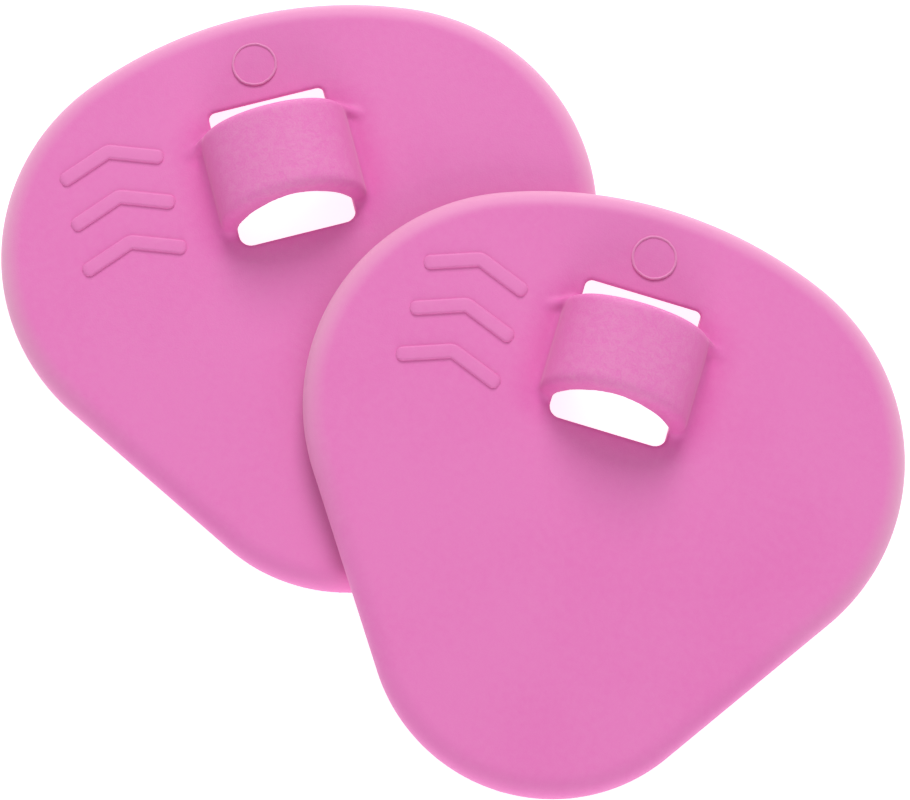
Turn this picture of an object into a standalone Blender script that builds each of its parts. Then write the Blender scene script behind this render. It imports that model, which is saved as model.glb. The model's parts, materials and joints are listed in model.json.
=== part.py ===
"""A pair of soft moulded shields for a saliva ejector, one leaning on the other.

Each shield is one silicone moulding: a rounded triangular plate with a window near
its wide end, and an arched strap across the window. The tube of a saliva ejector
passes under the strap and out through the window. Metres, +Z up, floor at z = 0.
"""

import math

import bmesh
import bpy
from mathutils import Matrix, Vector

MM = 0.001

# Plate, seen from above, with its wide end towards +Y
PLATE_WIDTH = 42.0 * MM
PLATE_LENGTH = 42.5 * MM
PLATE_THICKNESS = 1.7 * MM
CROWN_RADIUS = 30.2 * MM      # shallow curve of the wide end
LOBE_RADIUS = 15.3 * MM       # the two wide corners
NOSE_RADIUS = 12.3 * MM       # the narrow end
RIM_ROLL_WIDTH = 1.5 * MM     # how far in the top face starts to roll down
RIM_ROLL_DEPTH = 1.4 * MM
RIM_UNDERCUT = 0.15 * MM      # small chamfer round the underside

# Window through the plate, measured from the wide end
WINDOW_WIDTH = 8.3 * MM
WINDOW_LENGTH = 10.05 * MM
WINDOW_MARGIN = 6.75 * MM     # plate left between the wide end and the window
WINDOW_CORNER = 0.6 * MM
WINDOW_LAND = 0.2 * MM        # upright part at the top of its far wall
WINDOW_LEAN = 0.7 * MM        # how far that wall runs back under the plate below it

# Strap arched over the middle of the window
STRAP_LENGTH = 6.6 * MM       # along the tube
STRAP_WALL = 1.3 * MM
STRAP_SIDE = 1.05 * MM        # wall of the strap's legs beside the window
TUNNEL_RISE = 3.4 * MM        # inner height of the arch above the plate
STRAP_FULLNESS = 2.05         # 2 is an ellipse, more is squarer
TUNNEL_FULLNESS = 1.7
STRAP_LEAN = 0.6 * MM         # how far its near end runs out, from the tunnel's top to its feet
STRAP_EDGE = 0.5 * MM         # rounding of the strap's two ends
FOOT_FILLET = 0.5 * MM

# Round witness mark of the mould between the window and the wide end
DISC_RADIUS = 1.5 * MM
DISC_RELIEF = 0.1 * MM
DISC_OFFSET = 0.1 * MM        # to the left of the middle line
DISC_STEP = 2.75 * MM         # from the window to its centre

# Raised arrowheads beside the window, pointing to the wide end
ARROW_COUNT = 3
ARROW_PITCH = 3.4 * MM
ARROW_WIDTH = 7.4 * MM
ARROW_HEIGHT = 2.5 * MM
ARROW_STROKE = 1.1 * MM
ARROW_RELIEF = 0.2 * MM
ARROW_GAP = 3.7 * MM          # from the window to the nearest arrow tip

SUNK = 0.4 * MM               # how deep raised shapes are rooted in the plate

# How the two shields lie
RESTING_GAP = 0.3 * MM
REAR_TURN = math.radians(14.6)
FRONT_TURN = math.radians(-16.2)
FRONT_SHIFT = Vector((18.55, -14.55, 0.0)) * MM  # from the rear one's centre

SILICONE = (0.768, 0.216, 0.509, 1.0)
SILICONE_ROUGHNESS = 0.45

ARC_STEPS = 10
ROLL_STEPS = 4
EDGE_STEPS = 3
DISC_SIDES = 24


def plate_outline():
    """Centres, radii and joining angles of the arcs from the wide end to the nose."""
    lobe_x = PLATE_WIDTH / 2 - LOBE_RADIUS
    crown_y = PLATE_LENGTH / 2 - CROWN_RADIUS
    lobe_y = crown_y + math.sqrt((CROWN_RADIUS - LOBE_RADIUS) ** 2 - lobe_x ** 2)
    nose_y = NOSE_RADIUS - PLATE_LENGTH / 2
    crown_end = math.atan2(lobe_y - crown_y, lobe_x)
    reach = math.hypot(lobe_x, lobe_y - nose_y)
    side = math.atan2(lobe_y - nose_y, lobe_x) - math.acos((NOSE_RADIUS - LOBE_RADIUS) / reach)
    return [
        ((0.0, crown_y), CROWN_RADIUS, math.pi / 2, crown_end),
        ((lobe_x, lobe_y), LOBE_RADIUS, crown_end, side),
        ((0.0, nose_y), NOSE_RADIUS, side, -math.pi / 2),
    ]


def arc_points(arc, inset):
    (x, y), radius, start, end = arc
    angles = [start + (end - start) * step / ARC_STEPS for step in range(ARC_STEPS + 1)]
    return [(x + (radius - inset) * math.cos(angle), y + (radius - inset) * math.sin(angle))
            for angle in angles]


def outline_points(inset):
    """The plate's outline, moved in by inset, as (x, y) points clockwise from +Y."""
    crown, lobe, nose = plate_outline()
    # The lobe starts where the crown ends, so its first point is left out.
    right = arc_points(crown, inset) + arc_points(lobe, inset)[1:] + arc_points(nose, inset)
    left = [(-x, y) for x, y in reversed(right[1:-1])]
    return right + left


def loft(mesh, rings):
    """Add a closed body through rings of equally many points, capped at both ends."""
    layers = [[mesh.verts.new(point) for point in ring] for ring in rings]
    for lower, upper in zip(layers, layers[1:]):
        count = len(lower)
        for i in range(count):
            j = (i + 1) % count
            mesh.faces.new((lower[i], lower[j], upper[j], upper[i]))
    mesh.faces.new(layers[0])
    mesh.faces.new(layers[-1])


def level_ring(points, z):
    return [(x, y, z) for x, y in points]


def quarter_round(steps):
    """(across, along) of a quarter circle of radius 1, from its side to its top."""
    angles = [math.pi / 2 * step / steps for step in range(steps + 1)]
    return [(1 - math.cos(angle), math.sin(angle)) for angle in angles]


def add_plate(mesh):
    rings = [level_ring(outline_points(RIM_UNDERCUT), 0.0),
             level_ring(outline_points(0.0), RIM_UNDERCUT)]
    shoulder = PLATE_THICKNESS - RIM_ROLL_DEPTH
    for across, along in quarter_round(ROLL_STEPS):
        rings.append(level_ring(outline_points(RIM_ROLL_WIDTH * across),
                                shoulder + RIM_ROLL_DEPTH * along))
    loft(mesh, rings)


def window_ends():
    far = PLATE_LENGTH / 2 - WINDOW_MARGIN
    return far - WINDOW_LENGTH, far


def strap_section(inset, y, lean=0.0):
    """The strap's solid section at y: a full arch with filleted feet, rooted in the plate.

    It leans by so much from the tunnel's top to the feet, towards the nose.
    """
    half_width = WINDOW_WIDTH / 2 + STRAP_SIDE - inset
    height = TUNNEL_RISE + STRAP_WALL - inset
    fillet = min(FOOT_FILLET, height / 2)
    start = math.asin((fillet / height) ** (STRAP_FULLNESS / 2))
    right = []
    for step in range(ARC_STEPS + 1):
        angle = math.pi / 2 + (start - math.pi / 2) * step / ARC_STEPS
        right.append((half_width * math.cos(angle) ** (2 / STRAP_FULLNESS),
                      PLATE_THICKNESS + height * math.sin(angle) ** (2 / STRAP_FULLNESS)))
    foot = right[-1][0]
    for across, along in quarter_round(EDGE_STEPS)[1:]:
        right.append((foot + fillet * across, PLATE_THICKNESS + fillet * (1 - along)))
    right.append((foot + fillet, PLATE_THICKNESS - SUNK))
    left = [(-x, z) for x, z in reversed(right[1:])]
    return [(x, y - lean * (1 - (z - PLATE_THICKNESS) / TUNNEL_RISE), z) for x, z in right + left]


def add_strap(mesh):
    near, far = window_ends()
    middle = (near + far) / 2
    ends = [(STRAP_EDGE * across, STRAP_LENGTH / 2 - STRAP_EDGE * (1 - along))
            for across, along in quarter_round(EDGE_STEPS)]
    rings = [strap_section(inset, middle - offset, STRAP_LEAN) for inset, offset in reversed(ends)]
    rings += [strap_section(inset, middle + offset) for inset, offset in ends]
    loft(mesh, rings)


def add_disc(mesh):
    centre_y = window_ends()[1] + DISC_STEP
    circle = [(DISC_RADIUS * math.cos(turn) - DISC_OFFSET, centre_y + DISC_RADIUS * math.sin(turn))
              for turn in (math.tau * side / DISC_SIDES for side in range(DISC_SIDES))]
    loft(mesh, [level_ring(circle, PLATE_THICKNESS - SUNK),
                level_ring(circle, PLATE_THICKNESS + DISC_RELIEF)])


def add_arrows(mesh):
    near, far = window_ends()
    middle_x = -(WINDOW_WIDTH / 2 + ARROW_GAP + ARROW_WIDTH / 2)
    for index in range(ARROW_COUNT):
        base = (near + far) / 2 + (index - (ARROW_COUNT - 1) / 2) * ARROW_PITCH
        half = ARROW_WIDTH / 2
        tip = ARROW_HEIGHT - ARROW_STROKE
        outline = [(-half, 0.0), (0.0, tip), (half, 0.0),
                   (half, ARROW_STROKE), (0.0, ARROW_HEIGHT), (-half, ARROW_STROKE)]
        placed = [(middle_x + x, base - ARROW_HEIGHT / 2 + y) for x, y in outline]
        loft(mesh, [level_ring(placed, PLATE_THICKNESS - SUNK),
                    level_ring(placed, PLATE_THICKNESS + ARROW_RELIEF)])


def tunnel_section(inset, y):
    """The arch of the tunnel and the top of the window, as one opening at y."""
    half_width = WINDOW_WIDTH / 2 - inset
    right = []
    for step in range(ARC_STEPS + 1):
        angle = math.pi / 2 * (1 - step / ARC_STEPS)
        right.append((half_width * math.cos(angle) ** (2 / TUNNEL_FULLNESS),
                      PLATE_THICKNESS + TUNNEL_RISE * math.sin(angle) ** (2 / TUNNEL_FULLNESS)))
    right.append((half_width, PLATE_THICKNESS - WINDOW_LAND))
    left = [(-x, z) for x, z in reversed(right[1:])]
    return [(x, y, z) for x, z in right + left]


def add_tunnel(mesh):
    near, far = window_ends()
    corner = [(WINDOW_CORNER * across, WINDOW_CORNER * (1 - along))
              for across, along in quarter_round(EDGE_STEPS)]
    rings = [tunnel_section(inset, near + back) for inset, back in reversed(corner)]
    rings += [tunnel_section(inset, far - back) for inset, back in corner]
    loft(mesh, rings)


def window_ring(z):
    """The window's outline at height z, its far end further back lower down."""
    near, far = window_ends()
    land = PLATE_THICKNESS - WINDOW_LAND
    far += WINDOW_LEAN * (land - z) / land
    corner = [(WINDOW_WIDTH / 2 - WINDOW_CORNER * across, WINDOW_CORNER * (1 - along))
              for across, along in quarter_round(EDGE_STEPS)]
    right = [(x, near + back) for x, back in reversed(corner)] + [(x, far - back) for x, back in corner]
    return level_ring(right + [(-x, y) for x, y in reversed(right)], z)


def add_window(mesh):
    """The window through the plate, up into the opening of the tunnel."""
    loft(mesh, [window_ring(-PLATE_THICKNESS / 2), window_ring(PLATE_THICKNESS - WINDOW_LAND / 2)])


def body_object(name, *makers):
    """A mesh object holding the closed bodies that the makers add."""
    mesh = bmesh.new()
    for make in makers:
        make(mesh)
    bmesh.ops.recalc_face_normals(mesh, faces=mesh.faces)
    data = bpy.data.meshes.new(name)
    mesh.to_mesh(data)
    mesh.free()
    body = bpy.data.objects.new(name, data)
    bpy.context.scene.collection.objects.link(body)
    return body


def combine(body, tool, operation):
    cut = body.modifiers.new(tool.name, "BOOLEAN")
    cut.operation = operation
    cut.solver = "EXACT"
    cut.object = tool


def moulding():
    """The one-piece shield at the origin, with the plate's underside at z = 0."""
    plate = body_object("plate", add_plate)
    raised = body_object("raised", add_strap, add_disc, add_arrows)
    tunnel = body_object("tunnel", add_tunnel)
    window = body_object("window", add_window)
    combine(plate, raised, "UNION")
    combine(plate, tunnel, "DIFFERENCE")
    combine(plate, window, "DIFFERENCE")
    view = bpy.context.evaluated_depsgraph_get()
    shape = bpy.data.meshes.new_from_object(plate.evaluated_get(view))
    shape.name = "shield"
    for helper in (plate, raised, tunnel, window):
        bpy.data.objects.remove(helper)
    shape.shade_smooth()
    shape.set_sharp_from_angle(angle=math.radians(40))
    return shape


def silicone(name):
    material = bpy.data.materials.new(name)
    material.use_nodes = True
    shader = material.node_tree.nodes["Principled BSDF"]
    shader.inputs["Base Color"].default_value = SILICONE
    shader.inputs["Roughness"].default_value = SILICONE_ROUGHNESS
    shader.inputs["Metallic"].default_value = 0.0
    return material


def shield(name, shape, place):
    piece = bpy.data.objects.new(name, shape.copy())
    piece.data.materials.append(silicone(name + "_silicone"))
    piece.matrix_world = place
    bpy.context.scene.collection.objects.link(piece)
    return piece


def outline_reach(direction):
    """How far the underside reaches from the plate's centre along an angle in its plane."""
    return max(x * math.cos(direction) + y * math.sin(direction)
               for x, y in outline_points(RIM_UNDERCUT))


def front_place():
    """Lean the front shield on the top edge of the rear one's right side."""
    side = plate_outline()[1][3]
    downhill = REAR_TURN + side
    slope = Vector((math.cos(downhill), math.sin(downhill), 0.0))
    (lobe_x, lobe_y), radius = plate_outline()[1][:2]
    edge = lobe_x * math.cos(side) + lobe_y * math.sin(side) + radius - RIM_ROLL_WIDTH
    behind = FRONT_SHIFT.dot(slope) - edge
    lever = outline_reach(downhill - FRONT_TURN) + behind
    tilt = math.asin((PLATE_THICKNESS + RESTING_GAP) / lever)
    axis = Vector((0.0, 0.0, 1.0)).cross(slope)
    return (Matrix.Translation(FRONT_SHIFT) @ Matrix.Rotation(tilt, 4, axis)
            @ Matrix.Rotation(FRONT_TURN, 4, "Z"))


def corners(shape, place):
    points = [place @ vertex.co for vertex in shape.vertices]
    low = Vector([min(point[axis] for point in points) for axis in range(3)])
    high = Vector([max(point[axis] for point in points) for axis in range(3)])
    return low, high


def build():
    for leftover in list(bpy.data.objects):
        bpy.data.objects.remove(leftover)
    shape = moulding()
    rear = Matrix.Rotation(REAR_TURN, 4, "Z")
    front = front_place()
    front.translation.z -= corners(shape, front)[0].z
    bounds = [corners(shape, rear), corners(shape, front)]
    low = [min(box[0][axis] for box in bounds) for axis in range(2)]
    high = [max(box[1][axis] for box in bounds) for axis in range(2)]
    centre = Vector(((low[0] + high[0]) / 2, (low[1] + high[1]) / 2, 0.0))
    to_middle = Matrix.Translation(-centre)
    shield("rear_shield", shape, to_middle @ rear)
    shield("front_shield", shape, to_middle @ front)
    bpy.context.view_layer.update()


build()
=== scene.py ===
"""Looks of a pair of soft silicone shields for a saliva ejector, laid out as an add-on.

Each shield is one moulding: a rounded triangular plate with a rolled rim, a window near
its wide end and an arched strap over the window. Metres, +Z up, floor at z = 0.
"""

import json
import math

import bmesh
import bpy
from mathutils import Matrix, Vector

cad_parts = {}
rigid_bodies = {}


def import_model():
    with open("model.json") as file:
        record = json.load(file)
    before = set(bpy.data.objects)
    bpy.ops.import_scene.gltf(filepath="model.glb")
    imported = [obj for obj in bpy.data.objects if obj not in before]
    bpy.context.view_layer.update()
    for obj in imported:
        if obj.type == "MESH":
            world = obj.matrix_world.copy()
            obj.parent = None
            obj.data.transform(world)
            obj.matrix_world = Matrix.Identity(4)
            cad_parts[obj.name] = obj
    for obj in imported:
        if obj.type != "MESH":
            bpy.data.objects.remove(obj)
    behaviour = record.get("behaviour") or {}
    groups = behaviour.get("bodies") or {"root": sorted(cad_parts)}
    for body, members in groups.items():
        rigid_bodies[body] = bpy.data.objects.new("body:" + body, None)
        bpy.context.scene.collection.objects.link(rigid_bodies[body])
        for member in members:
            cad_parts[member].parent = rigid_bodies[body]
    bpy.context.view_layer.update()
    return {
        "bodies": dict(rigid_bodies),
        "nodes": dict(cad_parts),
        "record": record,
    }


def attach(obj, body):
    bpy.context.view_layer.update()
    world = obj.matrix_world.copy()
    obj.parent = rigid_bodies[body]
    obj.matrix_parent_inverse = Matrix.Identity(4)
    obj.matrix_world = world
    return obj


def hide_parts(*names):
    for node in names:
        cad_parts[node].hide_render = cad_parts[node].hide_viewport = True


bl_info = {
    "name": "Silicone Ejector Shields",
    "version": (1, 0, 0),
    "blender": (4, 5, 0),
    "location": "3D View > Sidebar > Shields",
    "description": "Moulds a pair of silicone shields with their raised marks, and a plain stage",
    "category": "Object",
}

MM = 0.001
WELD = 0.001 * MM         # corners of a CAD solid's triangles that count as one
DOUBLES = 0.0005 * MM     # the same in a finished piece
FLAT_WITHIN = 0.01 * MM   # how level the plate's underside is taken to be
LEVEL = 0.999             # how squarely a face on the plate's top faces up

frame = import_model()

SHIELDS = {body: frame["record"]["behaviour"]["bodies"][body][0] for body in frame["bodies"]}


# ---------------------------------------------------------------------------
# What the CAD solids say
# ---------------------------------------------------------------------------

def welded(node):
    """A copy of a CAD node's mesh with its loose triangles joined at their corners."""
    mesh = bmesh.new()
    mesh.from_mesh(frame["nodes"][node].data)
    bmesh.ops.remove_doubles(mesh, verts=mesh.verts, dist=WELD)
    return mesh


def underside_loops(mesh, down):
    """Corner points of the plate's flat underside: its outer edge, then its window."""
    lowest = max(vertex.co.dot(down) for vertex in mesh.verts)
    flat = {face for face in mesh.faces
            if all(vertex.co.dot(down) > lowest - FLAT_WITHIN for vertex in face.verts)}
    rim = {edge for edge in mesh.edges if sum(face in flat for face in edge.link_faces) == 1}
    loops = []
    while rim:
        edge = rim.pop()
        loop, reached = [edge.verts[0], edge.verts[1]], edge.verts[1]
        while True:
            following = [near for near in reached.link_edges if near in rim]
            if not following:
                break
            rim.remove(following[0])
            reached = following[0].other_vert(reached)
            loop.append(reached)
        loops.append([vertex.co.copy() for vertex in loop[1:]])
    return sorted(loops, key=len, reverse=True)


def area_of(face):
    return face.calc_area()


def span(points, axis):
    """The lowest and highest reach of some points along an axis."""
    along = [point.dot(axis) for point in points]
    return min(along), max(along)


def read_moulding(node):
    """Where a shield lies, and its plate's and window's sizes, from its CAD solid.

    The place takes a point with the plate's centre at the origin, its underside at
    z = 0 and its wide end towards +Y to where the shield lies.
    """
    mesh = welded(node)
    mesh.normal_update()
    down = max((face for face in mesh.faces if face.normal.z < 0), key=area_of).normal.copy()
    up = -down
    outer, window = underside_loops(mesh, down)
    middle = sum(outer, Vector()) / len(outer)
    ahead = sum(window, Vector()) / len(window) - middle
    ahead = (ahead - ahead.dot(up) * up).normalized()
    right = ahead.cross(up)
    low_x, high_x = span(outer, right)
    low_y, high_y = span(outer, ahead)
    floor = middle.dot(up)
    origin = right * (low_x + high_x) / 2 + ahead * (low_y + high_y) / 2 + up * floor
    top = max((face for face in mesh.faces if face.normal.dot(up) > LEVEL), key=area_of)
    window_x, window_y = span(window, right), span(window, ahead)
    middle_y = (low_y + high_y) / 2
    place = Matrix((right, ahead, up)).transposed().to_4x4()
    place.translation = origin
    sizes = {
        "flat_width": high_x - low_x,
        "flat_length": high_y - low_y,
        "thickness": top.verts[0].co.dot(up) - floor,
        "window_width": window_x[1] - window_x[0],
        "window_near": window_y[0] - middle_y,
        "window_far": window_y[1] - middle_y,
        "height": span([vertex.co for vertex in mesh.verts], up)[1] - floor,
    }
    mesh.free()
    return place, sizes


PLACES = {body: read_moulding(node) for body, node in SHIELDS.items()}
PLATE = next(iter(PLACES.values()))[1]
UNDERCUT = 0.15 * MM      # chamfer round the CAD underside, which its flat stops short of
WINDOW_LEAN = 0.7 * MM    # how far the window's far wall runs back under the plate


# ---------------------------------------------------------------------------
# Sizes and colours that a user would change
# ---------------------------------------------------------------------------

def length(name, description, default):
    """A size in metres, shown in the user's units."""
    return bpy.props.FloatProperty(name=name, description=description, default=default,
                                   min=0.0, precision=5, subtype="DISTANCE", unit="LENGTH")


def colour(name, description, default):
    return bpy.props.FloatVectorProperty(name=name, description=description, default=default,
                                         size=3, min=0.0, max=1.0, subtype="COLOR")


def power(name, description, default):
    return bpy.props.FloatProperty(name=name, description=description, default=default,
                                   min=0.0, subtype="POWER", unit="POWER")


def share(name, description, default):
    return bpy.props.FloatProperty(name=name, description=description, default=default,
                                   min=0.0, max=1.0, subtype="FACTOR")


class ShieldSizes(bpy.types.PropertyGroup):
    """Sizes of one moulding."""

    plate_width: length("Plate Width", "Across the two lobes", PLATE["flat_width"] + 2 * UNDERCUT)
    plate_length: length("Plate Length", "From the nose to the wide end",
                         PLATE["flat_length"] + 2 * UNDERCUT)
    thickness: length("Thickness", "Plate, underside to top", PLATE["thickness"])
    crown_radius: length("Crown Radius", "Shallow curve of the wide end", 30.2 * MM)
    lobe_radius: length("Lobe Radius", "The two wide corners", 15.3 * MM)
    nose_radius: length("Nose Radius", "The narrow end", 12.3 * MM)
    roll_width: length("Rim Roll Width", "How far in the top starts to roll down", 1.5 * MM)
    roll_depth: length("Rim Roll Depth", "How far down the rim rolls", 1.4 * MM)
    under_round: length("Underside Round", "Rounding of the lower edge", 0.2 * MM)
    window_width: length("Window Width", "Across the window", PLATE["window_width"])
    window_near: length("Window Near End", "From the plate's centre", PLATE["window_near"])
    window_far: length("Window Far End", "From the plate's centre, at the top",
                       PLATE["window_far"] - WINDOW_LEAN)
    window_lean: length("Window Lean", "How far its far wall runs back under the plate", WINDOW_LEAN)
    window_land: length("Window Land", "Upright part at the top of that wall", 0.2 * MM)
    near_corner: length("Near Corner", "Rounding of its two near corners", 0.85 * MM)
    far_corner: length("Far Corner", "Rounding of its two far corners", 0.5 * MM)
    window_edge: length("Window Edge", "Rounding of the window's and tunnel's edges", 0.2 * MM)
    strap_length: length("Strap Length", "Along the tube", 6.6 * MM)
    strap_lean: length("Strap Lean", "How far its near end runs out to its feet", 0.6 * MM)
    strap_wall: length("Strap Wall", "Thickness over the tunnel", 1.3 * MM)
    strap_side: length("Strap Side", "Thickness of its legs", 1.05 * MM)
    strap_edge: length("Strap Edge", "Rounding of its two ends", 0.7 * MM)
    foot_fillet: length("Foot Fillet", "Where the strap meets the plate", 0.5 * MM)
    web_reach: length("Web Reach", "Thin webs beside the strap's far feet", 0.8 * MM)
    web_radius: length("Web Radius", "Their rounding", 0.22 * MM)
    voxel: length("Moulding Detail", "Width of the moulding's faces", 0.19 * MM)
    strap_fullness: bpy.props.FloatProperty(
        name="Strap Fullness", description="2 is an ellipse, more is squarer",
        default=2.05, min=1.5, max=6.0)
    tunnel_fullness: bpy.props.FloatProperty(
        name="Tunnel Fullness", description="2 is an ellipse, less is more pointed",
        default=1.7, min=1.2, max=6.0)


class MarkSizes(bpy.types.PropertyGroup):
    """Sizes of the raised arrowheads and of the mould's round witness mark."""

    arrow_pitch: length("Arrow Pitch", "From one arrowhead to the next", 3.4 * MM)
    arrow_width: length("Arrow Width", "Across an arrowhead", 7.4 * MM)
    arrow_rise: length("Arrow Rise", "From its ends to its tip", 1.4 * MM)
    arrow_stroke: length("Arrow Stroke", "Width of its bar", 1.0 * MM)
    arrow_relief: length("Arrow Relief", "Height above the plate", 0.2 * MM)
    arrow_gap: length("Arrow Gap", "From the window to the arrowheads", 3.7 * MM)
    disc_radius: length("Disc Radius", "Round witness mark", 1.5 * MM)
    disc_relief: length("Disc Relief", "Height above the plate", 0.06 * MM)
    disc_offset: length("Disc Offset", "To the left of the middle line", 0.1 * MM)
    disc_step: length("Disc Step", "From the window to its centre", 2.75 * MM)
    flash_radius: length("Flash Radius", "Thin lip round the witness mark", 0.09 * MM)
    arrow_count: bpy.props.IntProperty(
        name="Arrowheads", description="How many point to the wide end", default=3, min=0)


class SiliconeLook(bpy.types.PropertyGroup):
    """Colours and finish of the silicone."""

    body: colour("Body", "Most of the surface", (0.79, 0.194, 0.515))
    # Pale also paints the highlight on the thin rims, the disc's lip and the arrowheads
    pale: colour("Pale", "Thin rims and worn high spots", (0.80, 0.36, 0.56))
    # Deep also paints the shade beside the strap's foot
    deep: colour("Deep", "Flow marks and hollows", (0.76, 0.135, 0.46))
    roughness: share("Roughness", "Satin of the mould", 0.56)
    grain: length("Grain", "Width of the fine mould grain", 0.11 * MM)
    mottle: length("Mottle", "Width of the spark-worn texture on the strap", 0.6 * MM)
    grain_height: length("Grain Height", "Height of the fine grain", 0.008 * MM)
    mottle_height: length("Mottle Height", "Height of the strap's texture", 0.05 * MM)


class StageSettings(bpy.types.PropertyGroup):
    """Floor, lights and camera."""

    floor: colour("Floor", "Plain pale floor", (0.6, 0.6, 0.6))
    elevation: bpy.props.FloatProperty(
        name="Camera Elevation", description="Above the floor", default=math.radians(75.0),
        subtype="ANGLE", unit="ROTATION")
    aim: bpy.props.FloatVectorProperty(
        name="Camera Aim", description="Where it points", default=(0.33 * MM, -0.30 * MM, 0.0),
        size=3, precision=5, subtype="TRANSLATION", unit="LENGTH")
    distance: length("Camera Distance", "From its aim", 311.3 * MM)
    lens: bpy.props.FloatProperty(
        name="Lens", description="Focal length in millimetres", default=178.0, min=10.0)
    key_power: power("Key Light", "Soft light from beyond the wide ends", 4.2)
    fill_power: power("Fill Light", "Broad low light from the nose ends", 2.2)
    sky: bpy.props.FloatProperty(
        name="Surrounding Light", description="Even light from all round", default=0.5, min=0.0)
    glow: bpy.props.FloatProperty(
        name="Floor Glow", description="Light that the pale floor gives", default=0.78, min=0.0)


# ---------------------------------------------------------------------------
# Node helpers
# ---------------------------------------------------------------------------

class Number:
    """A number inside a node tree, so that a rule for a shape reads as a sum."""

    def __init__(self, tree, socket):
        self.tree = tree
        self.socket = socket

    def math(self, operation, *others):
        node = self.tree.nodes.new("ShaderNodeMath")
        node.operation = operation
        for slot, value in zip(node.inputs, (self, *others)):
            plug(self.tree, value, slot)
        return Number(self.tree, node.outputs[0])

    def __add__(self, other):
        return self.math("ADD", other)

    def __sub__(self, other):
        return self.math("SUBTRACT", other)

    def __mul__(self, other):
        return self.math("MULTIPLY", other)

    def __truediv__(self, other):
        return self.math("DIVIDE", other)

    def __pow__(self, other):
        return self.math("POWER", other)

    def __neg__(self):
        return self.math("MULTIPLY", -1.0)

    def __abs__(self):
        return self.math("ABSOLUTE")

    def above(self, other):
        """1 where this number is greater, else 0."""
        return self.math("GREATER_THAN", other)

    def at_least(self, other):
        return self.math("MAXIMUM", other)

    def at_most(self, other):
        return self.math("MINIMUM", other)

    def between(self, low, high):
        return self.at_least(low).at_most(high)

    def root(self):
        return self.math("SQRT")


def plug(tree, value, slot):
    """Feed a socket from a number, another socket or a plain value."""
    if isinstance(value, Number):
        tree.links.new(value.socket, slot)
    elif isinstance(value, bpy.types.NodeSocket):
        tree.links.new(value, slot)
    else:
        slot.default_value = value


def hypotenuse(a, b):
    return (a * a + b * b).root()


def blend_by(mask, on, off):
    """One number where the mask is 1 and the other where it is 0."""
    return off + (on - off) * mask


def either(a, b, fillet):
    """Distance to two solids joined, with a round fillet in the corner between them."""
    near_a = (-(a - fillet)).at_least(0.0)
    near_b = (-(b - fillet)).at_least(0.0)
    return a.at_most(b).at_least(fillet) - hypotenuse(near_a, near_b)


def both(a, b, edge):
    """Distance to what two solids share, with its edge rounded."""
    over_a = (a + edge).at_least(0.0)
    over_b = (b + edge).at_least(0.0)
    return a.at_least(b).at_most(-edge) + hypotenuse(over_a, over_b)


def quarter(across, up, width, height, power):
    """Distance to a quarter superellipse, upright below its foot and level beyond its crown."""
    u = (across / width).at_least(0.001)
    v = (up / height).at_least(0.001)
    reach = (u ** power + v ** power) ** (power ** -1.0)
    slope = hypotenuse(u ** (power - 1.0) / width, v ** (power - 1.0) / height)
    return (reach - 1.0) * reach ** (power - 1.0) / slope


def rod(point, start, end, radius):
    """Distance to a rod with round ends."""
    from_start = [here - there for here, there in zip(point, start)]
    along = [there - here for here, there in zip(start, end)]
    part_way = sum_of(a * b for a, b in zip(from_start, along)) / sum_of(a * a for a in along)
    part_way = part_way.between(0.0, 1.0)
    across = [a - b * part_way for a, b in zip(from_start, along)]
    return sum_of(a * a for a in across).root() - radius


def sum_of(numbers):
    first, *others = numbers
    for number in others:
        first = first + number
    return first


SOCKETS = {float: "NodeSocketFloat", int: "NodeSocketInt", Vector: "NodeSocketVector",
           bpy.types.Material: "NodeSocketMaterial", tuple: "NodeSocketColor"}


class Inputs:
    """Named inputs of a node group, each as a number or a socket."""

    def __init__(self, tree, values):
        for name, value in values.items():
            socket = tree.interface.new_socket(name, in_out="INPUT", socket_type=SOCKETS[type(value)])
            socket.default_value = value
        self.tree = tree
        self.node = tree.nodes.new("NodeGroupInput")

    def __getitem__(self, name):
        return self.node.outputs[name]

    def number(self, name):
        return Number(self.tree, self.node.outputs[name])


def new_group(name, kind, inputs):
    tree = bpy.data.node_groups.new(name, kind)
    return tree, Inputs(tree, inputs)


def give(tree, outputs):
    """Close a group with named outputs: {name: (socket type, value)}."""
    for name, (socket_type, _value) in outputs.items():
        tree.interface.new_socket(name, in_out="OUTPUT", socket_type=socket_type)
    end = tree.nodes.new("NodeGroupOutput")
    for name, (_socket_type, value) in outputs.items():
        plug(tree, value, end.inputs[name])
    spread_out(tree)


def spread_out(tree):
    """Lay the nodes out in columns, in the order in which they were made."""
    rows = 10
    for index, node in enumerate(tree.nodes):
        node.location = (220 * (index // rows), -180 * (index % rows))


def add(tree, kind, inputs=None, **settings):
    """A node with its settings, and its inputs fed by name or by index."""
    node = tree.nodes.new(kind)
    for name, value in settings.items():
        setattr(node, name, value)
    for key, value in (inputs or {}).items():
        plug(tree, value, node.inputs[key])
    return node


def parts_of(tree, vector):
    node = add(tree, "ShaderNodeSeparateXYZ", {0: vector})
    return [Number(tree, output) for output in node.outputs]


def vector_of(tree, x, y, z):
    return add(tree, "ShaderNodeCombineXYZ", {0: x, 1: y, 2: z}).outputs[0]


def vector_math(tree, operation, *values):
    node = add(tree, "ShaderNodeVectorMath", operation=operation)
    for slot, value in zip(node.inputs, values):
        plug(tree, value, slot)
    return node.outputs[0]


def scaled(tree, vector, factor):
    return add(tree, "ShaderNodeVectorMath", {0: vector, "Scale": factor},
               operation="SCALE").outputs[0]


# ---------------------------------------------------------------------------
# The silicone
# ---------------------------------------------------------------------------

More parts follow.
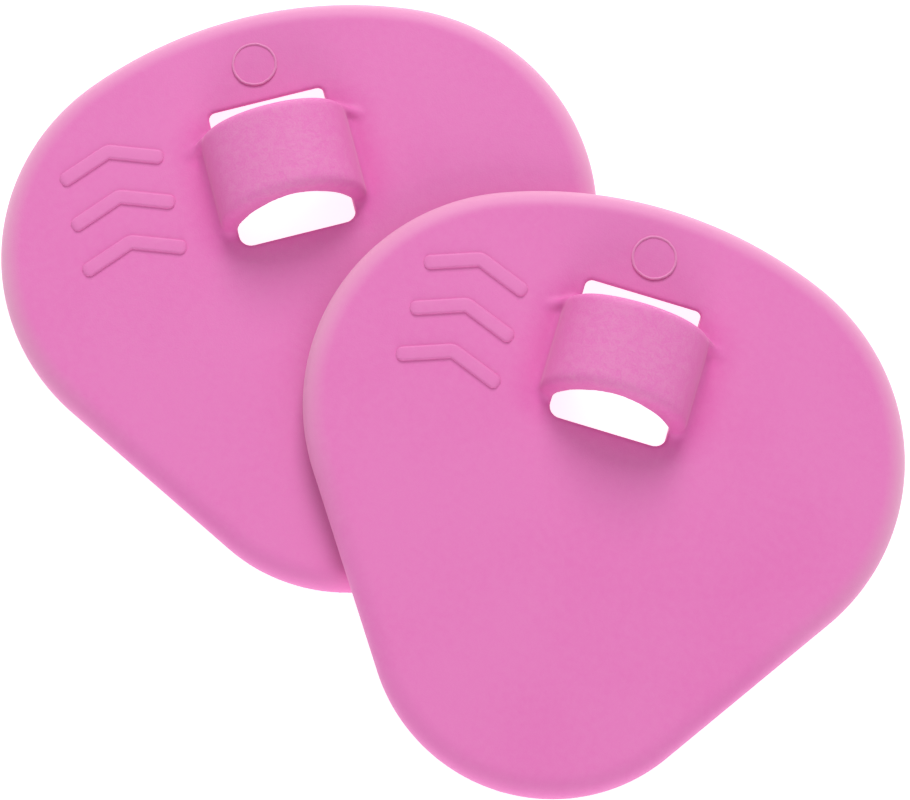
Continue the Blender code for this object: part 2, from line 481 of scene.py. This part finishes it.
FLOW_DEPTH = 0.8          # how much the wide flow marks deepen the pink
SPECK_DEPTH = 0.6         # how much the small specks between them do
SPECK_WIDTH = 0.06        # a speck's width as a share of a flow mark's
DEEP_ALL_OVER = 0.1       # deeper pink everywhere
RIM_HIGHLIGHT = 0.8          # how much of the pale pink the thin rim takes, as a painted highlight
MOTTLE_ON_PLATE = 0.12    # share of the spark-worn texture
MOTTLE_ON_STRAP = 0.85    # how much more of it there is on the strap's top
WORN_FROM = 0.38          # shade of the grain above which high spots are paler
WORN_ON_PLATE = 0.3       # how far they pale on the plate, and 1 more on the strap's top
GLOSS_SPREAD = 0.25       # how much the grain varies the roughness


def mixed(tree, factor, first, second):
    mix = add(tree, "ShaderNodeMix", data_type="RGBA")
    for index, value in ((0, factor), (6, first), (7, second)):
        plug(tree, value, mix.inputs[index])
    return mix.outputs[2]


def noise(tree, point, width, detail=2.0, roughness=0.5, distortion=0.0):
    """Smooth noise from 0 to 1 whose lumps are about width across."""
    scale = width ** -1.0
    node = add(tree, "ShaderNodeTexNoise", {
        "Vector": point, "Scale": scale, "Detail": detail,
        "Roughness": roughness, "Distortion": distortion})
    return Number(tree, node.outputs[0])


def grain_group():
    """Skin of the mould: a fine grain everywhere and a coarser spark-worn mottle by share."""
    name = "Mould Grain"
    if name in bpy.data.node_groups:
        return bpy.data.node_groups[name]
    tree, size = new_group(name, "ShaderNodeTree", {
        "Point": Vector(), "Grain": 0.1 * MM, "Grain Height": 0.005 * MM,
        "Mottle": 0.4 * MM, "Mottle Height": 0.03 * MM, "Mottle Share": 0.0})
    fine = noise(tree, size["Point"], size.number("Grain"), detail=1.0)
    mottle = noise(tree, size["Point"], size.number("Mottle"), detail=2.5, roughness=0.55,
                   distortion=0.7)
    coarse = mottle * size.number("Mottle Height") * size.number("Mottle Share")
    give(tree, {
        "Height": ("NodeSocketFloat", fine * size.number("Grain Height") + coarse),
        "Shade": ("NodeSocketFloat", fine * 0.5 + mottle * 0.5)})
    return tree


def tint_group():
    """Uneven pigment in wide flow marks, with a painted highlight that pales thin rims and painted
    shade that deepens the pink beside the strap.
    """
    name = "Silicone Tint"
    if name in bpy.data.node_groups:
        return bpy.data.node_groups[name]
    tree, size = new_group(name, "ShaderNodeTree", {
        "Point": Vector(), "Body": (0.7, 0.2, 0.5, 1.0), "Pale": (0.8, 0.3, 0.6, 1.0),
        "Deep": (0.6, 0.1, 0.4, 1.0), "Rim": 0.0, "Worn": 0.0, "Painted Shade": 0.0,
        "Flow Width": 9.0 * MM})
    flow = noise(tree, size["Point"], size.number("Flow Width"), detail=1.0)
    specks = noise(tree, size["Point"], size.number("Flow Width") * SPECK_WIDTH, detail=2.0)
    uneven = (flow - 0.5) * FLOW_DEPTH + (specks - 0.5) * SPECK_DEPTH
    deepening = (uneven + size.number("Painted Shade") + DEEP_ALL_OVER).between(0.0, 1.0)
    body = mixed(tree, deepening, size["Body"], size["Deep"])
    # Painted highlight on the rims, together with the paler worn high spots of the grain
    highlight_and_worn = (size.number("Rim") + size.number("Worn")).between(0.0, 1.0)
    give(tree, {"Colour": ("NodeSocketColor", mixed(tree, highlight_and_worn, body, size["Pale"]))})
    return tree


def silicone(look):
    """Satin pink silicone, with a pattern that lies alike on every moulding and moves with it."""
    name = "satin_silicone"
    if name in bpy.data.materials:
        return bpy.data.materials[name]
    material = bpy.data.materials.new(name)
    material.use_nodes = True
    tree = material.node_tree
    shader = tree.nodes["Principled BSDF"]
    point = add(tree, "ShaderNodeAttribute", attribute_name="mould_point").outputs["Vector"]
    rim = Number(tree, add(tree, "ShaderNodeAttribute", attribute_name="rim").outputs["Fac"])
    crown = Number(tree, add(tree, "ShaderNodeAttribute", attribute_name="crown").outputs["Fac"])
    hollow = add(tree, "ShaderNodeAttribute", attribute_name="hollow").outputs["Fac"]
    grain = add(tree, "ShaderNodeGroup", node_tree=grain_group())
    for slot, value in (("Point", point), ("Grain", look.grain), ("Grain Height", look.grain_height),
                        ("Mottle", look.mottle), ("Mottle Height", look.mottle_height),
                        ("Mottle Share", crown * MOTTLE_ON_STRAP + MOTTLE_ON_PLATE)):
        plug(tree, value, grain.inputs[slot])
    shade = Number(tree, grain.outputs["Shade"])
    worn = (shade - WORN_FROM) * (crown + WORN_ON_PLATE)
    tint = add(tree, "ShaderNodeGroup", node_tree=tint_group())
    # The rim takes a painted highlight and the strap's foot painted shade, through the tint
    for slot, value in (("Point", point), ("Rim", rim * RIM_HIGHLIGHT), ("Worn", worn), ("Painted Shade", hollow),
                        ("Body", (*look.body, 1.0)), ("Pale", (*look.pale, 1.0)),
                        ("Deep", (*look.deep, 1.0))):
        plug(tree, value, tint.inputs[slot])
    bump = add(tree, "ShaderNodeBump", {"Height": grain.outputs["Height"]})
    bump.inputs["Distance"].default_value = 1.0
    plug(tree, tint.outputs["Colour"], shader.inputs["Base Color"])
    plug(tree, (shade - 0.5) * GLOSS_SPREAD + look.roughness, shader.inputs["Roughness"])
    plug(tree, bump.outputs["Normal"], shader.inputs["Normal"])
    shader.inputs["IOR"].default_value = 1.41
    shader.inputs["Specular IOR Level"].default_value = 0.4
    shader.inputs["Sheen Weight"].default_value = 0.2
    shader.inputs["Sheen Roughness"].default_value = 0.5
    spread_out(tree)
    return material


# ---------------------------------------------------------------------------
# Shapes, as geometry node trees
# ---------------------------------------------------------------------------

WEB_INSIDE = (0.2 * MM, 0.4 * MM)   # a web starts this far inside the strap's side and far end
WEB_START_UP = 0.5 * MM             # and this far above the plate
WEB_END_BACK = 0.85 * MM            # it ends this far short of the strap's far end
WEB_END_DOWN = 0.2 * MM             # and this far under the plate's top
HIGHLIGHT_FROM = 9.0 * MM                # the painted rim highlight starts this far from the centre, by the nose
HIGHLIGHT_OVER = 15.0 * MM               # and is strongest this much further on
HIGHLIGHT_EDGE = 1.3                     # above 1, the painted highlight is full before the very edge
CROWN_OVER = 3.2 * MM               # the strap's worn texture comes in over this height
CROWN_START = 0.35                  # from this share of it up
PAINTED_SHADE_REACH = 2.4 * MM             # the painted shade, deeper pink beside the strap, fades over this
SKIN_PASSES = 3                     # times that the skin is drawn tight
SKIN_STEP = 0.02 * MM               # step that finds which way the skin faces
UPRIGHT_DETAIL = 0.75               # finer faces up and down, as a share of the rest
DISC_SIDES = 72
FLASH_SIDES = 8
BEND_STEPS = 8                      # points round an arrowhead's bend
BAR_STEPS = 12.0                    # points along a bar, for each width of it
BAR_EDGE_STEPS = 5                  # points round each edge of a bar
BAR_END_LEAST = 0.02                # size of a bar's very end, which can't be a point


def outline_distance(x, y, size):
    """Distance to the plate's outline on the right of the middle line, seen from above."""
    crown_radius = size.number("Crown Radius")
    lobe_radius = size.number("Lobe Radius")
    nose_radius = size.number("Nose Radius")
    half_length = size.number("Plate Length") / 2.0
    lobe_x = size.number("Plate Width") / 2.0 - lobe_radius
    crown_y = half_length - crown_radius
    rise = ((crown_radius - lobe_radius) ** 2.0 - lobe_x * lobe_x).root()
    lobe_y = crown_y + rise
    nose_y = nose_radius - half_length
    drop = lobe_y - nose_y
    reach = hypotenuse(lobe_x, drop)
    facing = drop.math("ARCTAN2", lobe_x) - ((nose_radius - lobe_radius) / reach).math("ARCCOSINE")
    out_x, out_y = facing.math("COSINE"), facing.math("SINE")
    from_x, from_y = x - lobe_x, y - lobe_y
    along = from_x * out_y - from_y * out_x
    side_end = drop * out_x - lobe_x * out_y
    crown = hypotenuse(x, y - crown_y) - crown_radius
    lobe = hypotenuse(from_x, from_y) - lobe_radius
    side = from_x * out_x + from_y * out_y - lobe_radius
    nose = hypotenuse(x, y - nose_y) - nose_radius
    lower = blend_by(along.above(side_end), nose, side)
    below_crown = blend_by(along.above(0.0), lower, lobe)
    in_crown = (lobe_x * (y - crown_y) - rise * x).above(0.0)
    return blend_by(in_crown, crown, below_crown)


def distance_group(sizes):
    """Distance from a point to the moulding's skin, negative inside the silicone."""
    tree, size = new_group("Moulding Distance", "GeometryNodeTree", {"Point": Vector(), **sizes})
    x, y, z = parts_of(tree, size["Point"])
    x = abs(x)
    thickness = size.number("Thickness")
    window_width = size.number("Window Width")
    near, far = size.number("Window Near End"), size.number("Window Far End")
    edge = outline_distance(x, y, size)
    roll_width, roll_depth = size.number("Rim Roll Width"), size.number("Rim Roll Depth")
    plate = quarter(edge + roll_width, z - thickness + roll_depth, roll_width, roll_depth, 2.0)
    strap_rise = size.number("Height") - thickness
    tunnel_rise = strap_rise - size.number("Strap Wall")
    above = z - thickness
    half_strap = size.number("Strap Length") / 2.0
    from_middle = y - (near + far) / 2.0
    below_crown = (above / tunnel_rise - 1.0).at_least(-1.0)
    near_end = -from_middle - half_strap + below_crown * size.number("Strap Lean")
    strap_ends = near_end.at_least(from_middle - half_strap)
    strap_half = window_width / 2.0 + size.number("Strap Side")
    arch = quarter(x, above, strap_half, strap_rise, size.number("Strap Fullness"))
    strap = both(arch, strap_ends, size.number("Strap Edge"))
    solid = either(plate, strap, size.number("Foot Fillet"))
    strap_far = (near + far) / 2.0 + half_strap
    web_start = (strap_half - WEB_INSIDE[0], strap_far - WEB_INSIDE[1], thickness + WEB_START_UP)
    web_end = (strap_half + size.number("Web Reach"), strap_far - WEB_END_BACK,
               thickness - WEB_END_DOWN)
    web_radius = size.number("Web Radius")
    web = rod((x, y, z), web_start, web_end, web_radius)
    solid = either(solid, web, web_radius * 2.0)
    solid = both(solid, -z, size.number("Underside Round"))
    tunnel = quarter(x, above, window_width / 2.0, tunnel_rise, size.number("Tunnel Fullness"))
    land = thickness - size.number("Window Land")
    leaning = far + size.number("Window Lean") * (land - z).at_least(0.0) / land
    opening = both(tunnel, near - y, size.number("Near Corner"))
    opening = both(opening, y - leaning, size.number("Far Corner"))
    skin = both(solid, -opening, size.number("Window Edge"))
    # Painted highlight: the rim roll is paled more towards the wide end, where the light falls on it
    highlight_towards_wide_end = ((y + HIGHLIGHT_FROM) / HIGHLIGHT_OVER).between(0.0, 1.0)
    rim = ((edge / roll_width + 1.0) * HIGHLIGHT_EDGE).between(0.0, 1.0) * highlight_towards_wide_end
    crown = (above / CROWN_OVER - CROWN_START).between(0.0, 1.0)
    # Painted shade: deeper pink on the plate beside the strap's foot and low on the strap, where shade
    # falls
    beside_strap = (-strap / PAINTED_SHADE_REACH + 1.0).between(0.0, 1.0)
    give(tree, {"Distance": ("NodeSocketFloat", skin), "Rim": ("NodeSocketFloat", rim),
                "Crown": ("NodeSocketFloat", crown),
                "Painted Shade": ("NodeSocketFloat", beside_strap * (-crown + 1.0))})
    return tree


def moulding_tree(sizes, values):
    """Fill a block with the distance to the moulding, skin it, and draw the skin tight."""
    measure = distance_group(sizes)
    tree, size = new_group("Silicone Moulding", "GeometryNodeTree", values)

    def measured(point):
        node = add(tree, "GeometryNodeGroup", {"Point": point}, node_tree=measure)
        for name in sizes:
            plug(tree, size[name], node.inputs[name])
        return node

    detail = size.number("Moulding Detail")
    upright_detail = detail * UPRIGHT_DETAIL
    margin = detail * 3.0
    half_width = size.number("Plate Width") / 2.0 + margin
    half_length = size.number("Plate Length") / 2.0 + margin
    top = size.number("Height") + margin
    position = add(tree, "GeometryNodeInputPosition").outputs[0]
    depth = Number(tree, measured(position).outputs["Distance"])
    block = add(tree, "GeometryNodeVolumeCube", {
        "Density": -depth / MM + 1.0, "Background": -1.0,
        "Min": vector_of(tree, -half_width, -half_length, -margin),
        "Max": vector_of(tree, half_width, half_length, top),
        "Resolution X": half_width * 2.0 / detail, "Resolution Y": half_length * 2.0 / detail,
        "Resolution Z": (top + margin) / upright_detail})
    skin = add(tree, "GeometryNodeVolumeToMesh", {"Volume": block.outputs[0], "Threshold": 1.0},
               resolution_mode="GRID").outputs[0]
    for _pass in range(SKIN_PASSES):
        skin = drawn_tight(tree, skin, position, measured)
    here = measured(position)
    # Stored on the skin: the rim's painted highlight mask and the mask of painted shade beside the
    # strap
    for name, kind, value in (("mould_point", "FLOAT_VECTOR", position),
                              ("rim", "FLOAT", here.outputs["Rim"]),
                              ("crown", "FLOAT", here.outputs["Crown"]),
                              ("hollow", "FLOAT", here.outputs["Painted Shade"])):
        skin = stored(tree, skin, name, kind, value)
    finish_tree(tree, skin, size)
    return tree


def drawn_tight(tree, skin, position, measured):
    """Move each point of a skin straight onto the surface where the distance is zero."""
    here = Number(tree, measured(position).outputs["Distance"])
    slopes = []
    for axis in range(3):
        nudge = Vector([SKIN_STEP if index == axis else 0.0 for index in range(3)])
        beside = measured(vector_math(tree, "ADD", position, nudge)).outputs["Distance"]
        slopes.append(Number(tree, beside) - here)
    normal = vector_math(tree, "NORMALIZE", vector_of(tree, *slopes))
    moved = add(tree, "GeometryNodeSetPosition",
                {"Geometry": skin, "Offset": scaled(tree, normal, -here)})
    return moved.outputs[0]


def stored(tree, geometry, name, kind, value):
    return add(tree, "GeometryNodeStoreNamedAttribute",
               {"Geometry": geometry, "Name": name, "Value": value},
               data_type=kind, domain="POINT").outputs[0]


def finish_tree(tree, geometry, size, rounded=None):
    """Smooth shading where rounded, real instances and the material, as every tree here ends."""
    smooth = add(tree, "GeometryNodeSetShadeSmooth", {"Geometry": geometry}).outputs[0]
    if rounded is not None:
        smooth.node.inputs["Shade Smooth"].default_value = rounded
    real = add(tree, "GeometryNodeRealizeInstances", {"Geometry": smooth}).outputs[0]
    last = add(tree, "GeometryNodeSetMaterial", {"Geometry": real, "Material": size["Material"]})
    give(tree, {"Geometry": ("NodeSocketGeometry", last.outputs[0])})


def arrows_tree(values):
    """A row of raised arrowheads, each a flat-topped bar bent at its tip."""
    tree, size = new_group("Raised Arrowheads", "GeometryNodeTree", values)
    half, rise = size.number("Arrow Width") / 2.0, size.number("Arrow Rise")
    stroke, relief = size.number("Arrow Stroke"), size.number("Arrow Relief")
    bar = add(tree, "GeometryNodeMeshLine", {
        "Count": 3, "Start Location": vector_of(tree, -half, 0.0, 0.0),
        "Offset": vector_of(tree, half, 0.0, 0.0)}).outputs[0]
    middle = add(tree, "FunctionNodeCompare", {2: add(tree, "GeometryNodeInputIndex").outputs[0], 3: 1},
                 data_type="INT", operation="EQUAL").outputs[0]
    bent = add(tree, "GeometryNodeSetPosition", {
        "Geometry": bar, "Selection": middle, "Offset": vector_of(tree, 0.0, rise, 0.0)}).outputs[0]
    path = add(tree, "GeometryNodeMeshToCurve", {"Mesh": bent}).outputs[0]
    path = add(tree, "GeometryNodeFilletCurve", {
        "Curve": path, "Count": BEND_STEPS, "Radius": stroke * 0.6}, mode="POLY").outputs[0]
    path = add(tree, "GeometryNodeResampleCurve", {"Curve": path, "Length": stroke / BAR_STEPS},
               mode="LENGTH").outputs[0]
    gone = Number(tree, add(tree, "GeometryNodeSplineParameter").outputs["Length"])
    whole = Number(tree, add(tree, "GeometryNodeSplineLength").outputs["Length"])
    from_end = (gone.at_most(whole - gone) / (stroke / 2.0)).at_most(1.0)
    rounding = (-(from_end - 1.0) ** 2.0 + 1.0).at_least(0.0).root().at_least(BAR_END_LEAST)
    profile = add(tree, "GeometryNodeCurvePrimitiveQuadrilateral", {
        "Width": stroke, "Height": relief * 2.0}).outputs[0]
    profile = add(tree, "GeometryNodeFilletCurve", {
        "Curve": profile, "Count": BAR_EDGE_STEPS, "Radius": relief * 0.8}, mode="POLY").outputs[0]
    head = add(tree, "GeometryNodeCurveToMesh", {
        "Curve": path, "Profile Curve": profile, "Scale": rounding, "Fill Caps": True}).outputs[0]
    row = add(tree, "GeometryNodeMeshLine", {
        "Count": size["Arrowheads"], "Start Location": size["First Arrowhead"],
        "Offset": vector_of(tree, 0.0, size.number("Arrow Pitch"), 0.0)}).outputs[0]
    heads = add(tree, "GeometryNodeInstanceOnPoints", {"Points": row, "Instance": head}).outputs[0]
    real = add(tree, "GeometryNodeRealizeInstances", {"Geometry": heads}).outputs[0]
    position = add(tree, "GeometryNodeInputPosition").outputs[0]
    # Painted highlight: a tenth of the pale rim tint, even over the whole arrowhead
    real = stored(tree, real, "rim", "FLOAT", 0.1)
    finish_tree(tree, stored(tree, real, "mould_point", "FLOAT_VECTOR", position), size)
    return tree


def disc_tree(values):
    """A low round pad with a thin, slightly wavering lip of flash round it."""
    tree, size = new_group("Witness Disc", "GeometryNodeTree", values)
    radius, relief = size.number("Disc Radius"), size.number("Disc Relief")
    pad = add(tree, "GeometryNodeMeshCylinder", {
        "Vertices": DISC_SIDES, "Radius": radius, "Depth": relief * 2.0}).outputs["Mesh"]
    circle = add(tree, "GeometryNodeCurvePrimitiveCircle", {
        "Resolution": DISC_SIDES, "Radius": radius})
    position = add(tree, "GeometryNodeInputPosition").outputs[0]
    waver = noise(tree, position, radius * 0.25, detail=1.0) - 0.5
    drift = scaled(tree, vector_math(tree, "NORMALIZE", position), waver * size.number("Flash Radius"))
    lifted = vector_math(tree, "ADD", drift, vector_of(tree, 0.0, 0.0, relief))
    loop = add(tree, "GeometryNodeSetPosition", {
        "Geometry": circle.outputs["Curve"], "Offset": lifted}).outputs[0]
    bead = add(tree, "GeometryNodeCurvePrimitiveCircle", {
        "Resolution": FLASH_SIDES, "Radius": size["Flash Radius"]}).outputs["Curve"]
    lip = add(tree, "GeometryNodeCurveToMesh", {"Curve": loop, "Profile Curve": bead}).outputs[0]
    # Painted highlight: the lip takes half of the pale rim tint
    lip = stored(tree, lip, "rim", "FLOAT", 0.5)
    joined = add(tree, "GeometryNodeJoinGeometry", {0: pad})
    tree.links.new(lip, joined.inputs[0])
    placed = add(tree, "GeometryNodeTransform", {
        "Geometry": joined.outputs[0], "Translation": size["Disc Centre"]}).outputs[0]
    finish_tree(tree, stored(tree, placed, "mould_point", "FLOAT_VECTOR", position), size,
                rounded=False)
    return tree


def built(name, tree, body, values):
    """Run a tree once and keep its result as a plain mesh where the body's shield lies."""
    piece = bpy.data.objects.new(name, bpy.data.meshes.new(name))
    bpy.context.scene.collection.objects.link(piece)
    modifier = piece.modifiers.new("Shape", "NODES")
    modifier.node_group = tree
    sockets = {item.name: item.identifier for item in tree.interface.items_tree
               if item.item_type == "SOCKET" and item.in_out == "INPUT"}
    for key, value in values.items():
        modifier[sockets[key]] = value
    view = bpy.context.evaluated_depsgraph_get()
    mesh = bpy.data.meshes.new_from_object(piece.evaluated_get(view))
    if not mesh.polygons:
        raise RuntimeError(f"{tree.name} made nothing for {name}")
    piece.modifiers.clear()
    mesh.name = name
    piece.data = mesh
    keep_one_material(mesh)
    mesh.transform(PLACES[body][0])
    face_outwards(mesh)
    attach(piece, body)
    return piece


def keep_one_material(mesh):
    """Drop the empty first slot that a tree leaves in front of its material."""
    material = next(slot for slot in mesh.materials if slot)
    mesh.materials.clear()
    mesh.materials.append(material)
    mesh.polygons.foreach_set("material_index", [0] * len(mesh.polygons))


def face_outwards(data):
    """Join any doubled corners, then make every face look out of the silicone."""
    mesh = bmesh.new()
    mesh.from_mesh(data)
    bmesh.ops.remove_doubles(mesh, verts=mesh.verts, dist=DOUBLES)
    bmesh.ops.recalc_face_normals(mesh, faces=mesh.faces)
    mesh.to_mesh(data)
    mesh.free()


def moulding_values(sizes):
    """A moulding's sizes by the names that its trees give them."""
    named = {prop.name: getattr(sizes, key) for key, prop in sizes.bl_rna.properties.items()
             if prop.type == "FLOAT" and key != "voxel"}
    named["Height"] = PLATE["height"]
    return named


def mark_values(marks, keys):
    return {marks.bl_rna.properties[key].name: getattr(marks, key) for key in keys}


# ---------------------------------------------------------------------------
# Operators
# ---------------------------------------------------------------------------

class SHIELDS_OT_mouldings(bpy.types.Operator):
    """Mould both shields in place of their plain CAD solids"""

    bl_idname = "shields.mouldings"
    bl_label = "Mould the Shields"

    def execute(self, context):
        settings = context.scene.shields
        sizes = moulding_values(settings.sizes)
        values = {**sizes, "Moulding Detail": settings.sizes.voxel,
                  "Material": silicone(settings.look)}
        tree = moulding_tree(sizes, values)
        for body, node in SHIELDS.items():
            piece = built(f"{body}_moulding", tree, body, values)
            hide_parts(node)
        return {"FINISHED"}


class SHIELDS_OT_arrowheads(bpy.types.Operator):
    """Raise the arrowheads beside each window"""

    bl_idname = "shields.arrowheads"
    bl_label = "Raise the Arrowheads"

    def execute(self, context):
        settings = context.scene.shields
        sizes, marks = settings.sizes, settings.marks
        middle = (sizes.window_near + sizes.window_far) / 2
        first = Vector((-(sizes.window_width + marks.arrow_width) / 2 - marks.arrow_gap,
                        middle - marks.arrow_pitch * (marks.arrow_count - 1) / 2
                        - marks.arrow_rise / 2, sizes.thickness))
        values = mark_values(marks, ("arrow_width", "arrow_rise", "arrow_stroke", "arrow_relief",
                                     "arrow_pitch", "arrow_count"))
        values.update({"First Arrowhead": first, "Material": silicone(settings.look)})
        tree = arrows_tree(values)
        for body in SHIELDS:
            built(f"{body}_arrowheads", tree, body, values)
        return {"FINISHED"}


class SHIELDS_OT_witness_discs(bpy.types.Operator):
    """Raise the mould's round witness mark between each window and the wide end"""

    bl_idname = "shields.witness_discs"
    bl_label = "Raise the Witness Discs"

    def execute(self, context):
        settings = context.scene.shields
        sizes, marks = settings.sizes, settings.marks
        centre = Vector((-marks.disc_offset, sizes.window_far + marks.disc_step, sizes.thickness))
        values = mark_values(marks, ("disc_radius", "disc_relief", "flash_radius"))
        values.update({"Disc Centre": centre, "Material": silicone(settings.look)})
        tree = disc_tree(values)
        for body in SHIELDS:
            built(f"{body}_witness_disc", tree, body, values)
        return {"FINISHED"}


class SHIELDS_OT_stage(bpy.types.Operator):
    """Set out the plain floor, the soft lights and the camera"""

    bl_idname = "shields.stage"
    bl_label = "Set the Stage"

    def execute(self, context):
        stage = context.scene.shields.stage
        lay_floor(stage)
        hang_lights(context.scene, stage)
        place_camera(context.scene, stage)
        context.scene.view_settings.view_transform = "Standard"
        return {"FINISHED"}


FLOOR_HALF = 0.6
KEY_PLACE = (0.04, 0.64, 0.48)
KEY_SIZE = 0.35
FILL_PLACE = (0.0, -0.72, 0.30)
FILL_SIZE = 0.50


def lay_floor(stage):
    """A plain floor with some light of its own, which keeps it pale and its shadows faint."""
    half = FLOOR_HALF
    mesh = bpy.data.meshes.new("floor")
    mesh.from_pydata([(-half, -half, 0.0), (half, -half, 0.0), (half, half, 0.0), (-half, half, 0.0)],
                     [], [(0, 1, 2, 3)])
    floor = bpy.data.objects.new("floor", mesh)
    bpy.context.scene.collection.objects.link(floor)
    material = bpy.data.materials.new("pale_floor")
    material.use_nodes = True
    tree = material.node_tree
    shader = tree.nodes["Principled BSDF"]
    shader.inputs["Base Color"].default_value = (*stage.floor, 1.0)
    shader.inputs["Roughness"].default_value = 0.7
    shader.inputs["Emission Color"].default_value = (1.0, 1.0, 1.0, 1.0)
    shader.inputs["Emission Strength"].default_value = stage.glow
    mesh.materials.append(material)


def area_light(scene, name, place, size, watts):
    """A square soft light that faces the middle of the floor."""
    lamp = bpy.data.lights.new(name, "AREA")
    lamp.size = size
    lamp.energy = watts
    holder = bpy.data.objects.new(name, lamp)
    holder.location = place
    holder.rotation_euler = (-Vector(place)).to_track_quat("-Z", "Y").to_euler()
    scene.collection.objects.link(holder)


def hang_lights(scene, stage):
    """A soft key, a broad low fill and an even surrounding light."""
    area_light(scene, "key", KEY_PLACE, KEY_SIZE, stage.key_power)
    area_light(scene, "fill", FILL_PLACE, FILL_SIZE, stage.fill_power)
    world = bpy.data.worlds.new("studio")
    world.use_nodes = True
    scene.world = world
    background = world.node_tree.nodes["Background"]
    background.inputs["Color"].default_value = (1.0, 1.0, 1.0, 1.0)
    background.inputs["Strength"].default_value = stage.sky


def place_camera(scene, stage):
    """Stand the camera off towards the nose ends, high up, so that both shields fill its view."""
    back = Vector((0.0, -math.cos(stage.elevation), math.sin(stage.elevation)))
    camera = bpy.data.objects.new("camera", bpy.data.cameras.new("camera"))
    camera.data.lens = stage.lens
    camera.data.clip_start = 0.01
    camera.location = Vector(stage.aim) + back * stage.distance
    camera.rotation_euler = back.to_track_quat("Z", "Y").to_euler()
    scene.collection.objects.link(camera)
    scene.camera = camera


# ---------------------------------------------------------------------------
# Add-on
# ---------------------------------------------------------------------------

class ShieldSettings(bpy.types.PropertyGroup):
    """Everything that a user may change."""

    sizes: bpy.props.PointerProperty(type=ShieldSizes)
    marks: bpy.props.PointerProperty(type=MarkSizes)
    look: bpy.props.PointerProperty(type=SiliconeLook)
    stage: bpy.props.PointerProperty(type=StageSettings)


class SHIELDS_PT_panel(bpy.types.Panel):
    """Sidebar panel with the shields' steps and settings"""

    bl_label = "Ejector Shields"
    bl_idname = "SHIELDS_PT_panel"
    bl_space_type = "VIEW_3D"
    bl_region_type = "UI"
    bl_category = "Shields"

    def draw(self, context):
        for operator in OPERATORS:
            self.layout.operator(operator.bl_idname)
        settings = context.scene.shields
        for group in (settings.sizes, settings.marks, settings.look, settings.stage):
            box = self.layout.box()
            for name in group.__annotations__:
                box.prop(group, name)


OPERATORS = (SHIELDS_OT_mouldings, SHIELDS_OT_arrowheads, SHIELDS_OT_witness_discs, SHIELDS_OT_stage)
CLASSES = (ShieldSizes, MarkSizes, SiliconeLook, StageSettings, ShieldSettings, *OPERATORS,
           SHIELDS_PT_panel)


def register():
    for kind in CLASSES:
        bpy.utils.register_class(kind)
    bpy.types.Scene.shields = bpy.props.PointerProperty(type=ShieldSettings)


def unregister():
    del bpy.types.Scene.shields
    for kind in reversed(CLASSES):
        bpy.utils.unregister_class(kind)


def main():
    register()
    bpy.ops.shields.mouldings()
    bpy.ops.shields.arrowheads()
    bpy.ops.shields.witness_discs()
    bpy.ops.shields.stage()


if __name__ == "__main__":
    main()
